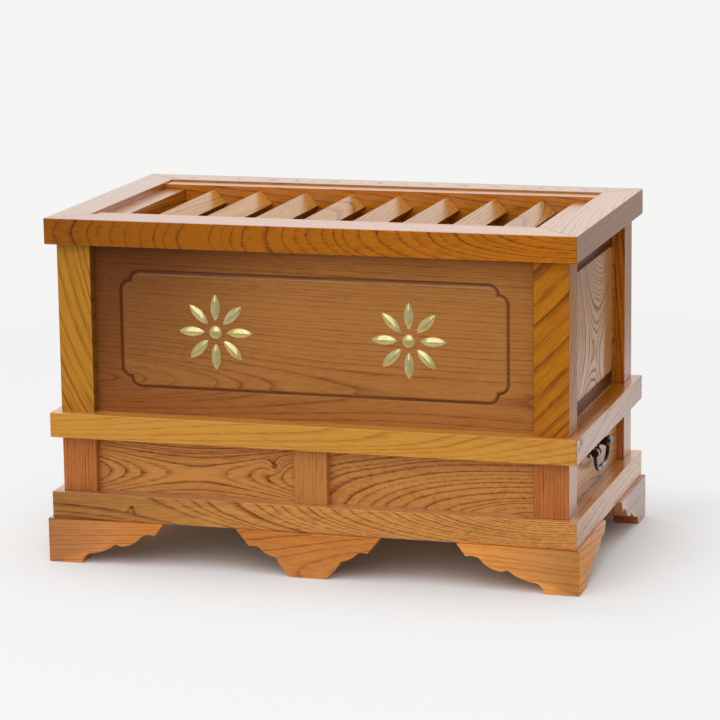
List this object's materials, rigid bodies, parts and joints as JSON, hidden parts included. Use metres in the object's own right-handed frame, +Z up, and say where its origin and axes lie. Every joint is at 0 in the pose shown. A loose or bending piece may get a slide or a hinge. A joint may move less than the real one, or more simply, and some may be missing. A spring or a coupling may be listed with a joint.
{
  "type": "donation box",
  "caption": "Lacquered wooden offertory chest on scrolled feet, with a slatted coin grille on top and a collection drawer with a bail pull at one end.",
  "frame": {"origin": "bottom centre, on the floor under the middle of the feet", "axes": "+X along the box towards the drawer end, +Y from the front to the rear, +Z up"},
  "size_m": [0.608, 0.354, 0.389],
  "materials": {
    "lacquered_wood": "clear gloss lacquer over open ring-porous grain",
    "dark_wood": "clear gloss lacquer over darker grain, carved",
    "plain_wood": "bare planed wood",
    "black_iron": "black lacquered, semi-gloss"
  },
  "bodies": {
    "cabinet": {"bay_floor": "plain_wood", "belt_rail_front": "lacquered_wood", "belt_rail_left": "lacquered_wood", "belt_rail_rear": "lacquered_wood", "belt_rail_right": "lacquered_wood", "drawer_guides": "plain_wood", "foot_front_left": "lacquered_wood", "foot_front_right": "lacquered_wood", "foot_glue_blocks": "plain_wood", "foot_middle_front": "lacquered_wood", "foot_middle_rear": "lacquered_wood", "foot_rear_left": "lacquered_wood", "foot_rear_right": "lacquered_wood", "grille_bar_1": "lacquered_wood", "grille_bar_2": "lacquered_wood", "grille_bar_3": "lacquered_wood", "grille_bar_4": "lacquered_wood", "grille_bar_5": "lacquered_wood", "grille_bar_6": "lacquered_wood", "grille_bar_7": "lacquered_wood", "grille_bar_8": "lacquered_wood", "grille_bearer_front": "lacquered_wood", "grille_bearer_rear": "lacquered_wood", "grille_end_bar_left": "lacquered_wood", "grille_end_bar_right": "lacquered_wood", "lower_panel_front_left": "lacquered_wood", "lower_panel_front_right": "lacquered_wood", "lower_panel_left": "lacquered_wood", "lower_panel_rear_left": "lacquered_wood", "lower_panel_rear_right": "lacquered_wood", "lower_post_front_left": "lacquered_wood", "lower_post_front_right": "lacquered_wood", "lower_post_rear_left": "lacquered_wood", "lower_post_rear_right": "lacquered_wood", "muntin_front": "lacquered_wood", "muntin_rear": "lacquered_wood", "plinth_rail_front": "lacquered_wood", "plinth_rail_left": "lacquered_wood", "plinth_rail_rear": "lacquered_wood", "plinth_rail_right": "lacquered_wood", "top_rail_front": "lacquered_wood", "top_rail_left": "lacquered_wood", "top_rail_rear": "lacquered_wood", "top_rail_right": "lacquered_wood", "upper_panel_front": "dark_wood", "upper_panel_left": "lacquered_wood", "upper_panel_rear": "lacquered_wood", "upper_panel_right": "lacquered_wood", "upper_post_front_left": "lacquered_wood", "upper_post_front_right": "lacquered_wood", "upper_post_rear_left": "lacquered_wood", "upper_post_rear_right": "lacquered_wood"},
    "drawer": {"drawer_back": "plain_wood", "drawer_bottom": "plain_wood", "drawer_front": "lacquered_wood", "drawer_wall_front": "plain_wood", "drawer_wall_rear": "plain_wood", "pull_nuts": "black_iron", "pull_posts": "black_iron"},
    "bail": {"pull_bail": "black_iron"}
  },
  "joints": [
    {"name": "drawer_slide", "type": "slide", "parent": "cabinet", "child": "drawer", "axis": [1, 0, 0], "range_m": [0, 0.42]},
    {"name": "bail_swing", "type": "hinge", "parent": "drawer", "child": "bail", "pos_m": [0.29, 0, 0.124], "axis": [0, -1, 0], "range_deg": [-10, 110]}
  ]
}
